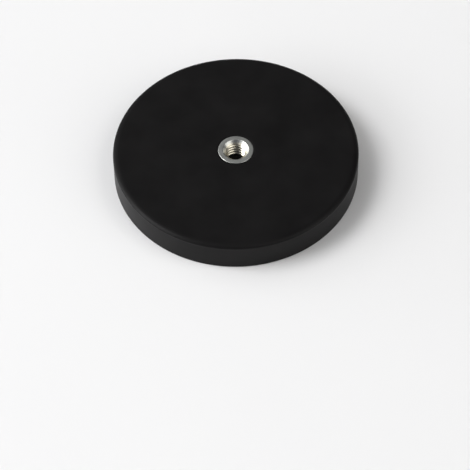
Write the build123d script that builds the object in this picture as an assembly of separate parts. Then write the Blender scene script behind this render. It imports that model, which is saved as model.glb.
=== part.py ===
from build123d import *

import math
import os

# Rubber-coated pot magnet with a flush threaded bush, in millimetres.
#
# A steel yoke disc carries two rings of magnet discs against its underside. A turned bush stands on the
# yoke with its collar, and its shank is riveted over below it. The set is moulded into one rubber jacket,
# which grips with its flat underside and leaves only the bush's face and thread bare.
# +Z points up along the thread, and the origin is the centre of the gripping face.

# ---- Rubber jacket ----
jacket_diameter = 66.0
grip_skin = 1.0  # rubber under the magnets
top_skin = 2.0  # rubber over the yoke
rim_wall = 3.0  # rubber round the yoke
top_edge_radius = 1.25
foot_bevel = 0.4
mouth_bevel = 0.25  # relief of the rubber round the bush's face

# ---- Yoke disc ----
yoke_thickness = 2.5
yoke_margin = 0.5  # bare yoke outside the outer ring of magnets

# ---- Magnet discs ----
magnet_diameter = 10.0
magnet_thickness = 3.0
magnet_spacing = 3.0  # least rubber between two magnets of a ring

# ---- Threaded bush, M6 ----
thread_core_diameter = 5.0
countersink_diameter = 7.0
countersink_angle = 90.0
face_diameter = 9.5
face_bevel = 0.25
shank_diameter = 8.0
rivet_height = 0.5  # how far the rivet head stands below the yoke
rivet_flare = 0.5  # how far the rivet head is spread past the shank
rivet_taper = 0.2  # how much narrower its end is

# ---- Heights and radii that follow ----
yoke_base = grip_skin + magnet_thickness
yoke_top = yoke_base + yoke_thickness
jacket_height = yoke_top + top_skin
jacket_radius = jacket_diameter / 2
yoke_radius = jacket_radius - rim_wall
magnet_radius = magnet_diameter / 2
core_radius = thread_core_diameter / 2
mouth_radius = countersink_diameter / 2
face_radius = face_diameter / 2
shank_radius = shank_diameter / 2
rivet_radius = shank_radius + rivet_flare
bush_base = yoke_base - rivet_height

ON_BASE = (Align.CENTER, Align.CENTER, Align.MIN)


def disc(radius, thickness, base):
    """A plain disc on the bush's axis, standing at a height."""
    return Pos(0, 0, base) * Cylinder(radius, thickness, align=ON_BASE)


def cone(lower_radius, upper_radius, thickness, base):
    """A cut-off cone on the bush's axis, standing at a height."""
    return Pos(0, 0, base) * Cone(lower_radius, upper_radius, thickness, align=ON_BASE)


def make_bush_blank():
    """The bush before it is bored: a collar on the yoke, a shank through it and a rivet head below it."""
    collar = disc(face_radius, top_skin, yoke_top)
    collar = chamfer(collar.edges().group_by(Axis.Z)[-1], face_bevel)
    shank = disc(shank_radius, yoke_thickness, yoke_base)
    rivet_head = cone(rivet_radius - rivet_taper, rivet_radius, rivet_height, bush_base)
    return collar + shank + rivet_head


def make_bush(blank):
    """The bush with its thread's core hole and countersunk mouth."""
    mouth_depth = (mouth_radius - core_radius) / math.tan(math.radians(countersink_angle / 2))
    core = disc(core_radius, jacket_height - bush_base, bush_base)
    mouth = cone(core_radius, mouth_radius, mouth_depth, jacket_height - mouth_depth)
    return blank - core - mouth


def make_yoke(bush_blank):
    """The steel disc, whose hole the bush's shank fills."""
    return disc(yoke_radius, yoke_thickness, yoke_base) - bush_blank


def make_magnets():
    """Two rings of magnet discs by name: one along the yoke's edge, and one midway to the bush."""
    magnet = disc(magnet_radius, magnet_thickness, grip_skin)
    outer_ring_radius = yoke_radius - yoke_margin - magnet_radius
    inner_ring_radius = (rivet_radius + outer_ring_radius - magnet_radius) / 2
    magnets = {}
    for ring, ring_radius in (("outer", outer_ring_radius), ("inner", inner_ring_radius)):
        # Neighbouring poles alternate, so each ring holds an even number.
        half_step = math.asin((magnet_radius + magnet_spacing / 2) / ring_radius)
        count = 2 * math.floor(math.pi / half_step / 2)
        for i in range(count):
            place = Rot(0, 0, 360 * i / count) * Pos(ring_radius, 0, 0)
            magnets[f"{ring}_magnet_{i + 1:02d}"] = place * magnet
    return magnets


def make_jacket(inserts):
    """The rubber moulded round the inserts, rounded at its top edge and open at the bush."""
    jacket = disc(jacket_radius, jacket_height, 0)
    jacket = fillet(jacket.edges().group_by(Axis.Z)[-1], top_edge_radius)
    jacket = chamfer(jacket.edges().group_by(Axis.Z)[0], foot_bevel)
    jacket -= cone(face_radius, face_radius + mouth_bevel, mouth_bevel, jacket_height - mouth_bevel)
    for insert in inserts:
        jacket -= insert
    return jacket


bush_blank = make_bush_blank()
yoke = make_yoke(bush_blank)
magnets = make_magnets()
parts = {
    "rubber_jacket": make_jacket([bush_blank, yoke, *magnets.values()]),
    "threaded_bush": make_bush(bush_blank),
    "yoke_disc": yoke,
    **magnets,
}

os.makedirs("parts", exist_ok=True)
for name, solid in parts.items():
    solid.label = name
    export_step(solid, f"parts/{name}.step")
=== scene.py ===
import math

import bmesh
import bpy
from mathutils import Matrix, Quaternion, Vector, noise


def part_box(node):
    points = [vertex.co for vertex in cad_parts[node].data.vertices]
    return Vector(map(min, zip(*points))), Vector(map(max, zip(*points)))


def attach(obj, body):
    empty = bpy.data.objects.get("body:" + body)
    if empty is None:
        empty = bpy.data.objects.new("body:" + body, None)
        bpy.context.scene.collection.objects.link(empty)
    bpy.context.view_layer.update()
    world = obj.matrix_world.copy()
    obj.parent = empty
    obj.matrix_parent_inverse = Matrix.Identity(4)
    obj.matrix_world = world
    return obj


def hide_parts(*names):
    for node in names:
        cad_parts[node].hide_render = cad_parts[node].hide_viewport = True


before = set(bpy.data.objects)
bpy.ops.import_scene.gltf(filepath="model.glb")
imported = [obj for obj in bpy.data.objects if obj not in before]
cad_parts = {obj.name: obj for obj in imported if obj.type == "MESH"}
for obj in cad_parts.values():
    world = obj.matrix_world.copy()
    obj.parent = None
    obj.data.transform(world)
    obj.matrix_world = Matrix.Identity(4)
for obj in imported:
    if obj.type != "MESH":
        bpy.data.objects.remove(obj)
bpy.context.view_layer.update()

# A pot magnet: a flat disc jacketed in black rubber, with a threaded steel bush in its top face.
# Lengths are in metres, in the frame of the CAD model: +Z up along the thread, origin in the gripping face.

MM = 0.001

# ---- Rubber jacket ----
TOP_EDGE_WIDTH = 1.6 * MM  # the rounded top edge is a quarter of an ellipse, which runs in this far
TOP_EDGE_DEPTH = 0.9 * MM  # and down this far
FOOT_EDGE_RADIUS = 0.4 * MM
MOUTH_EDGE_RADIUS = 0.25 * MM  # rounded lip of the rubber round the bush's face
WAVE_DEPTH = 0.05 * MM  # how far the moulded skin dips between its high spots
WAVE_LENGTH = 11.0 * MM
WAVE_FADE = 4.0 * MM  # the waves set in over this length round the bush
FOOT_FADE = 2.0 * MM  # and over this height above the foot
INNER_RING_RADIUS = 0.5 * MM  # of the underside's first ring of points
JACKET_SEGMENTS = 288
POCKET_SEGMENTS = 96
WELD_DISTANCE = 0.001 * MM  # points of the cut mesh that are nearer than this become one

# ---- Threaded bush, M6 ----
CORE_RADIUS = 2.5 * MM
THREAD_RADIUS = 3.0 * MM
THREAD_PITCH = 1.0 * MM
THREAD_HALF_ANGLE = math.radians(30)
THREAD_ROOT_FLAT = 0.125 * MM
THREAD_ROW = 0.025 * MM  # height of one row of the thread's mesh
THREAD_START = math.radians(180)  # turns the whole thread about its axis
MOUTH_RADIUS = 3.5 * MM  # of the 90 degree countersink
MOUTH_ROUNDING = 0.05 * MM
FACE_EDGE_RADIUS = 0.14 * MM
SHANK_RADIUS = 4.0 * MM
RIVET_RADIUS = 4.5 * MM
RIVET_TAPER = 0.2 * MM
BUSH_SEGMENTS = 192

# ---- Camera ----
CAMERA_PLACE = Vector((0.0, -414.7, 514.0)) * MM
CAMERA_AIM = Vector((-0.6, -28.8, 8.5)) * MM
CAMERA_ROLL = math.radians(-1.1)
CAMERA_LENS = 186.6  # in millimetres, as Blender takes it
CAMERA_SENSOR = 36.0  # in millimetres too

# ---- Floor and lamps ----
FLOOR_RADIUS = 1.2
FLOOR_COLOUR = (0.85, 0.85, 0.854)
FLOOR_SHADE = 0.99  # of that colour, where the floor is darkest
LAMP_DISTANCE = 2.2
WARM_WHITE = (1.0, 0.985, 0.95)

# ---- Room ----
HORIZON = (0.5, 0.5, 0.5)
FAR_LEFT_ROOM = (0.24, 0.24, 0.24)  # behind the magnet, as the camera sees it
FAR_RIGHT_ROOM = (0.12, 0.12, 0.12)
NEAR_ROOM = (0.07, 0.072, 0.085)
SIDE_BLEND = 0.2  # left and right meet where a direction's x is less than this, to either side
DEPTH_BLEND = 0.5  # and near and far where its y is
HORIZON_BLEND = (0.10, 0.22)  # the horizon gives way to the room between these heights of a direction

# ---- Noise textures ----
NOISE_LOW = 0.3  # nearly all their values lie from here
NOISE_HIGH = 0.7  # to here

# ---- Sizes taken from the frame ----
jacket_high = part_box("rubber_jacket")[1]
yoke_low, yoke_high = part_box("yoke_disc")
bush_low, bush_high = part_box("threaded_bush")
JACKET_RADIUS = jacket_high.x
JACKET_HEIGHT = jacket_high.z
YOKE_RADIUS = yoke_high.x
FACE_RADIUS = bush_high.x
MAGNET_NODES = sorted(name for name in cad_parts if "_magnet_" in name)
MAGNET_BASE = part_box(MAGNET_NODES[0])[0].z


# ---- Making the meshes ----

def straight(start, end, steps):
    """Points of a profile from start to end, the end left out."""
    return [tuple(a + (b - a) * i / steps for a, b in zip(start, end)) for i in range(steps)]


def arc(centre, radius, start_angle, end_angle, steps, width=None):
    """Points of a round stretch of a profile, the end left out. Angles are in degrees.
    width, where given, is its radius across, which makes it a stretch of an ellipse."""
    points = []
    for i in range(steps):
        angle = math.radians(start_angle + (end_angle - start_angle) * i / steps)
        points.append((centre[0] + (width or radius) * math.cos(angle), centre[1] + radius * math.sin(angle)))
    return points


def add_object(name, mesh):
    """Puts a finished bmesh into the scene as an object, and frees it."""
    data = bpy.data.meshes.new(name)
    mesh.to_mesh(data)
    mesh.free()
    piece = bpy.data.objects.new(name, data)
    bpy.context.scene.collection.objects.link(piece)
    return piece


def lathe(name, profile, segments, closed, shape=None):
    """A mesh turned from (radius, height) points, with a pole where the radius is zero.
    shape, where given, moves each point: shape(angle, radius, height) returns its radius and height."""
    mesh = bmesh.new()
    rings = []
    for radius, height in profile:
        if radius == 0:
            rings.append([mesh.verts.new((0, 0, height))])
            continue
        ring = []
        for i in range(segments):
            angle = 2 * math.pi * i / segments
            r, z = shape(angle, radius, height) if shape else (radius, height)
            ring.append(mesh.verts.new((r * math.cos(angle), r * math.sin(angle), z)))
        rings.append(ring)
    pairs = list(zip(rings, rings[1:]))
    if closed:
        pairs.append((rings[-1], rings[0]))
    for lower, upper in pairs:
        for i in range(segments):
            j = (i + 1) % segments
            corners = [lower[i % len(lower)], lower[j % len(lower)]]
            corners += [upper[j % len(upper)], upper[i % len(upper)]]
            # A pole is one point, so it leaves three different corners.
            mesh.faces.new(list(dict.fromkeys(corners)))
    bmesh.ops.recalc_face_normals(mesh, faces=mesh.faces)
    piece = add_object(name, mesh)
    piece.data.shade_smooth()
    return piece


def make_jacket():
    """The moulded rubber, with the cavity that the bush, the yoke and the magnets fill."""
    top_centre = (JACKET_RADIUS - TOP_EDGE_WIDTH, JACKET_HEIGHT - TOP_EDGE_DEPTH)
    foot_centre = (JACKET_RADIUS - FOOT_EDGE_RADIUS, FOOT_EDGE_RADIUS)
    mouth_centre = (FACE_RADIUS + MOUTH_EDGE_RADIUS, JACKET_HEIGHT - MOUTH_EDGE_RADIUS)
    profile = [(0, 0)]
    profile += straight((INNER_RING_RADIUS, 0), (foot_centre[0], 0), 30)
    profile += arc(foot_centre, FOOT_EDGE_RADIUS, -90, 0, 6)
    profile += straight((JACKET_RADIUS, FOOT_EDGE_RADIUS), (JACKET_RADIUS, top_centre[1]), 24)
    profile += arc(top_centre, TOP_EDGE_DEPTH, 0, 90, 16, TOP_EDGE_WIDTH)
    profile += straight((top_centre[0], JACKET_HEIGHT), (mouth_centre[0], JACKET_HEIGHT), 44)
    profile += arc(mouth_centre, MOUTH_EDGE_RADIUS, 90, 180, 6)
    profile += [(FACE_RADIUS, mouth_centre[1]), (FACE_RADIUS, yoke_high.z)]
    profile += [(YOKE_RADIUS, yoke_high.z), (YOKE_RADIUS, yoke_low.z), (RIVET_RADIUS, yoke_low.z)]
    profile += [(RIVET_RADIUS - RIVET_TAPER, bush_low.z), (0, bush_low.z)]
    jacket = lathe("jacket_skin", profile, JACKET_SEGMENTS, False, wavy_skin)
    carve(jacket, make_pocket_cutter())
    return jacket


def make_pocket_cutter():
    """Round bars in the magnets' places, which reach up into the yoke's cavity."""
    mesh = bmesh.new()
    height = (yoke_low.z + yoke_high.z) / 2 - MAGNET_BASE
    for name in MAGNET_NODES:
        low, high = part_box(name)
        centre = ((low.x + high.x) / 2, (low.y + high.y) / 2, low.z + height / 2)
        radius = (high.x - low.x) / 2
        bmesh.ops.create_cone(mesh, cap_ends=True, segments=POCKET_SEGMENTS, radius1=radius, radius2=radius,
                              depth=height, matrix=Matrix.Translation(centre))
    return add_object("pocket_cutter", mesh)


def carve(piece, cutter):
    """Cuts the cutter's solids out of a piece, and deletes the cutter."""
    cut = piece.modifiers.new("cut", "BOOLEAN")
    cut.operation = "DIFFERENCE"
    cut.solver = "EXACT"
    cut.object = cutter
    mesh = bmesh.new()
    mesh.from_object(piece, bpy.context.evaluated_depsgraph_get())
    bmesh.ops.remove_doubles(mesh, verts=mesh.verts, dist=WELD_DISTANCE)
    piece.modifiers.clear()
    mesh.to_mesh(piece.data)
    mesh.free()
    bpy.data.objects.remove(cutter)


def wavy_skin(angle, radius, height):
    """Dips the top face and the wall of the jacket a little, as moulded rubber is never quite flat."""
    place = Vector((radius * math.cos(angle), radius * math.sin(angle), height)) / WAVE_LENGTH
    dip = WAVE_DEPTH * (0.5 - 0.5 * noise.noise(place))
    if height > JACKET_HEIGHT - TOP_EDGE_DEPTH and radius < JACKET_RADIUS:
        from_bush = max(0, radius - FACE_RADIUS - MOUTH_EDGE_RADIUS)
        return radius, height - dip * min(1, from_bush / WAVE_FADE)
    if radius > YOKE_RADIUS:
        return radius - dip * min(1, height / FOOT_FADE), height
    return radius, height


def thread_radius(angle, height):
    """The radius of the thread's flank, crest or root at a place on its right-handed helix."""
    turn = (height / THREAD_PITCH - (angle + THREAD_START) / (2 * math.pi)) % 1
    from_root = abs(turn - 0.5) * THREAD_PITCH - THREAD_ROOT_FLAT / 2
    rise = max(0, from_root) / math.tan(THREAD_HALF_ANGLE)
    return max(CORE_RADIUS, THREAD_RADIUS - rise)


def bore_wall(angle, radius, height):
    """Cuts the thread into the bore's wall. All other points of the bush keep their place."""
    if radius > CORE_RADIUS:
        return radius, height
    countersink = MOUTH_RADIUS - (bush_high.z - height)
    return max(thread_radius(angle, height), countersink), height


def make_bush():
    """The turned bush, with its collar, shank, rivet head, countersink and helical thread."""
    low, high = bush_low.z, bush_high.z
    edge_centre = (FACE_RADIUS - FACE_EDGE_RADIUS, high - FACE_EDGE_RADIUS)
    bore_rows = round((high - MOUTH_ROUNDING - low) / THREAD_ROW)
    profile = straight((CORE_RADIUS, low), (CORE_RADIUS, high - MOUTH_ROUNDING), bore_rows)
    # Three points round the rim between the countersink and the face.
    profile += [(MOUTH_RADIUS - MOUTH_ROUNDING, high - MOUTH_ROUNDING)]
    profile += [(MOUTH_RADIUS - 0.3 * MOUTH_ROUNDING, high - 0.35 * MOUTH_ROUNDING)]
    profile += straight((MOUTH_RADIUS + 0.4 * MOUTH_ROUNDING, high), (edge_centre[0], high), 8)
    profile += arc(edge_centre, FACE_EDGE_RADIUS, 90, 0, 8)
    profile += [(FACE_RADIUS, edge_centre[1]), (FACE_RADIUS, yoke_high.z), (SHANK_RADIUS, yoke_high.z)]
    profile += [(SHANK_RADIUS, yoke_low.z), (RIVET_RADIUS, yoke_low.z), (RIVET_RADIUS - RIVET_TAPER, low)]
    return lathe("bush_turned", profile, BUSH_SEGMENTS, True, bore_wall)


# ---- Making the materials ----

def blend(tree, value, start, end, low, high):
    """A colour that runs from low to high, each a colour or an output, as a value goes from start to end."""
    span = tree.nodes.new("ShaderNodeMapRange")
    span.inputs["From Min"].default_value = start
    span.inputs["From Max"].default_value = end
    tree.links.new(value, span.inputs["Value"])
    mix = tree.nodes.new("ShaderNodeMixRGB")
    tree.links.new(span.outputs["Result"], mix.inputs["Fac"])
    for socket, colour in (("Color1", low), ("Color2", high)):
        if isinstance(colour, tuple):
            mix.inputs[socket].default_value = (*colour, 1)
        else:
            tree.links.new(colour, mix.inputs[socket])
    return mix.outputs["Color"]


class Recipe:
    """A node material with one Principled shader, and short calls for the nodes that feed it."""

    def __init__(self, name, **values):
        self.material = bpy.data.materials.new(name)
        self.material.use_nodes = True
        self.tree = self.material.node_tree
        self.nodes = self.tree.nodes
        self.links = self.tree.links
        self.shader = self.nodes["Principled BSDF"]
        for socket, value in values.items():
            self.shader.inputs[socket.replace("_", " ")].default_value = value
        self.place = self.nodes.new("ShaderNodeTexCoord").outputs["Object"]

    def noise(self, size, detail=2.0, place=None):
        """Noise whose patches are about size across."""
        node = self.nodes.new("ShaderNodeTexNoise")
        node.inputs["Scale"].default_value = 1 / size
        node.inputs["Detail"].default_value = detail
        self.links.new(place or self.place, node.inputs["Vector"])
        return node.outputs["Fac"]

    def axis_distance(self):
        """Distance from the magnet's axis."""
        flat = self.nodes.new("ShaderNodeVectorMath")
        flat.operation = "MULTIPLY"
        flat.inputs[1].default_value = (1, 1, 0)
        self.links.new(self.place, flat.inputs[0])
        length = self.nodes.new("ShaderNodeVectorMath")
        length.operation = "LENGTH"
        self.links.new(flat.outputs["Vector"], length.inputs[0])
        return length.outputs["Value"]

    def tint(self, factor, low, high):
        """A colour that runs from low to high over a noise."""
        return blend(self.tree, factor, NOISE_LOW, NOISE_HIGH, low, high)

    def ramp(self, factor, low, high):
        """A value that runs from low to high over a noise."""
        node = self.nodes.new("ShaderNodeMapRange")
        self.links.new(factor, node.inputs["Value"])
        node.inputs["From Min"].default_value = NOISE_LOW
        node.inputs["From Max"].default_value = NOISE_HIGH
        node.inputs["To Min"].default_value = low
        node.inputs["To Max"].default_value = high
        return node.outputs["Result"]

    def feed(self, socket, output):
        """Links an output to one of the shader's sockets."""
        self.links.new(output, self.shader.inputs[socket])

    def bump(self, *layers):
        """Bump from layers of (height output, depth in metres)."""
        normal = None
        for height, depth in layers:
            node = self.nodes.new("ShaderNodeBump")
            node.inputs["Distance"].default_value = depth
            self.links.new(height, node.inputs["Height"])
            if normal:
                self.links.new(normal, node.inputs["Normal"])
            normal = node.outputs["Normal"]
        self.feed("Normal", normal)


def make_rubber():
    """Matte black moulded rubber."""
    recipe = Recipe("rubber_black", Specular_IOR_Level=0.105)
    mottle = recipe.noise(9 * MM, 3.0)
    recipe.feed("Base Color", recipe.tint(mottle, (0.0047, 0.0044, 0.0046), (0.0077, 0.0073, 0.0075)))
    recipe.feed("Roughness", recipe.ramp(recipe.noise(6 * MM, 4.0), 0.38, 0.42))
    recipe.bump((recipe.noise(0.35 * MM, 3.0), 0.002 * MM), (recipe.noise(3 * MM, 2.0), 0.005 * MM))
    return recipe.material


def make_bush_steel():
    """Zinc plated turned steel, with a yellower film inside the bore and fine turning marks."""
    recipe = Recipe("bush_zinc", Metallic=1.0)
    distance = recipe.axis_distance()
    stains = recipe.noise(1.8 * MM, 3.0)
    outside = recipe.tint(stains, (0.50, 0.51, 0.49), (0.61, 0.62, 0.595))
    inside = recipe.tint(stains, (0.69, 0.65, 0.54), (0.77, 0.73, 0.62))
    recipe.feed("Base Color", blend(recipe.tree, distance, 2.8 * MM, 3.1 * MM, inside, outside))
    recipe.feed("Roughness", recipe.ramp(recipe.noise(0.5 * MM, 3.0), 0.28, 0.31))
    recipe.bump((recipe.noise(0.15 * MM, 2.0, distance), 0.0015 * MM), (recipe.noise(0.2 * MM), 0.001 * MM))
    return recipe.material


def make_yoke_steel():
    """Bare rolled steel of the sealed yoke."""
    recipe = Recipe("yoke_rolled", Metallic=1.0)
    recipe.feed("Base Color", recipe.tint(recipe.noise(4 * MM, 4.0), (0.40, 0.40, 0.41), (0.52, 0.52, 0.52)))
    recipe.feed("Roughness", recipe.ramp(recipe.noise(1.5 * MM, 4.0), 0.35, 0.5))
    recipe.bump((recipe.noise(0.4 * MM, 3.0), 0.004 * MM))
    return recipe.material


def make_magnet_nickel():
    """Bright nickel plating of the sealed magnets."""
    recipe = Recipe("magnet_nickel", Metallic=1.0)
    recipe.feed("Base Color", recipe.tint(recipe.noise(2 * MM, 3.0), (0.60, 0.58, 0.54), (0.68, 0.66, 0.62)))
    recipe.feed("Roughness", recipe.ramp(recipe.noise(1 * MM, 3.0), 0.14, 0.24))
    recipe.bump((recipe.noise(0.3 * MM, 2.0), 0.002 * MM))
    return recipe.material


# ---- Making the stage ----

def make_floor():
    """A plain pale floor under the magnet."""
    floor = lathe("floor", [(0, 0), (FLOOR_RADIUS, 0)], 64, False)
    recipe = Recipe("floor_white", Roughness=0.9, Specular_IOR_Level=0.1)
    shade = tuple(FLOOR_SHADE * c for c in FLOOR_COLOUR)
    recipe.feed("Base Color", recipe.tint(recipe.noise(80 * MM), FLOOR_COLOUR, shade))
    floor.data.materials.append(recipe.material)


def make_softbox(name, azimuth, elevation, width, height, radiance, colour=(1, 1, 1)):
    """A rectangular lamp that faces the magnet, placed and sized in degrees as the magnet sees it."""
    turn, rise = math.radians(azimuth), math.radians(elevation)
    place = Vector((math.cos(turn) * math.cos(rise), math.sin(turn) * math.cos(rise), math.sin(rise)))
    lamp = bpy.data.lights.new(name, "AREA")
    lamp.shape = "RECTANGLE"
    lamp.size = 2 * LAMP_DISTANCE * math.tan(math.radians(width / 2))
    lamp.size_y = 2 * LAMP_DISTANCE * math.tan(math.radians(height / 2))
    lamp.energy = radiance * math.pi * lamp.size * lamp.size_y
    lamp.color = colour
    softbox = bpy.data.objects.new(name, lamp)
    softbox.location = place * LAMP_DISTANCE
    softbox.rotation_euler = (-place).to_track_quat("-Z", "Y").to_euler()
    softbox.visible_camera = False
    bpy.context.scene.collection.objects.link(softbox)


def make_lamps():
    """The key group at the left, and dimmer softboxes above, behind and at the right."""
    make_softbox("key", 180, 47.5, 30, 24, 7.6)
    make_softbox("key_low", 170, 26, 60, 17, 2.7)
    make_softbox("key_high", 180, 63.5, 28, 8, 2.5)
    make_softbox("key_glow", 180, 6, 60, 11, 7.5)
    make_softbox("left_fill", 212, 21, 60, 18, 2.6)
    make_softbox("overhead", 0, 90, 22, 22, 0.5)
    make_softbox("back_panel", 120, 51, 24, 26, 1.0)
    make_softbox("right_low", -24, 19, 47, 38, 1.5, WARM_WHITE)
    make_softbox("right_high", -26, 54, 40, 26, 1.9, WARM_WHITE)


def make_world():
    """A dim room round the lamps, palest at the horizon and at the far left, darkest on the camera's side."""
    world = bpy.data.worlds.new("studio")
    world.use_nodes = True
    tree = world.node_tree
    split = tree.nodes.new("ShaderNodeSeparateXYZ")
    tree.links.new(tree.nodes.new("ShaderNodeTexCoord").outputs["Generated"], split.inputs[0])
    far_room = blend(tree, split.outputs["X"], -SIDE_BLEND, SIDE_BLEND, FAR_LEFT_ROOM, FAR_RIGHT_ROOM)
    room = blend(tree, split.outputs["Y"], -DEPTH_BLEND, DEPTH_BLEND, NEAR_ROOM, far_room)
    sky = blend(tree, split.outputs["Z"], *HORIZON_BLEND, HORIZON, room)
    tree.links.new(sky, tree.nodes["Background"].inputs["Color"])
    bpy.context.scene.world = world


def make_camera():
    """The camera at the photograph's viewing angle."""
    lens = bpy.data.cameras.new("camera")
    lens.lens = CAMERA_LENS
    lens.sensor_width = CAMERA_SENSOR
    lens.clip_start = 10 * MM
    camera = bpy.data.objects.new("camera", lens)
    camera.location = CAMERA_PLACE
    turn = (CAMERA_AIM - CAMERA_PLACE).to_track_quat("-Z", "Y") @ Quaternion((0, 0, 1), CAMERA_ROLL)
    camera.rotation_euler = turn.to_euler()
    bpy.context.scene.collection.objects.link(camera)
    bpy.context.scene.camera = camera


def main():
    """Dresses the CAD model's nodes and sets the stage."""
    jacket = make_jacket()
    jacket.data.materials.append(make_rubber())
    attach(jacket, "root")
    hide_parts("rubber_jacket")

    bush = make_bush()
    bush.data.materials.append(make_bush_steel())
    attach(bush, "root")
    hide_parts("threaded_bush")

    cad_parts["yoke_disc"].material_slots[0].material = make_yoke_steel()
    nickel = make_magnet_nickel()
    for name in MAGNET_NODES:
        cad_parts[name].material_slots[0].material = nickel

    make_floor()
    make_lamps()
    make_world()
    make_camera()
    bpy.context.scene.view_settings.view_transform = "Standard"


main()
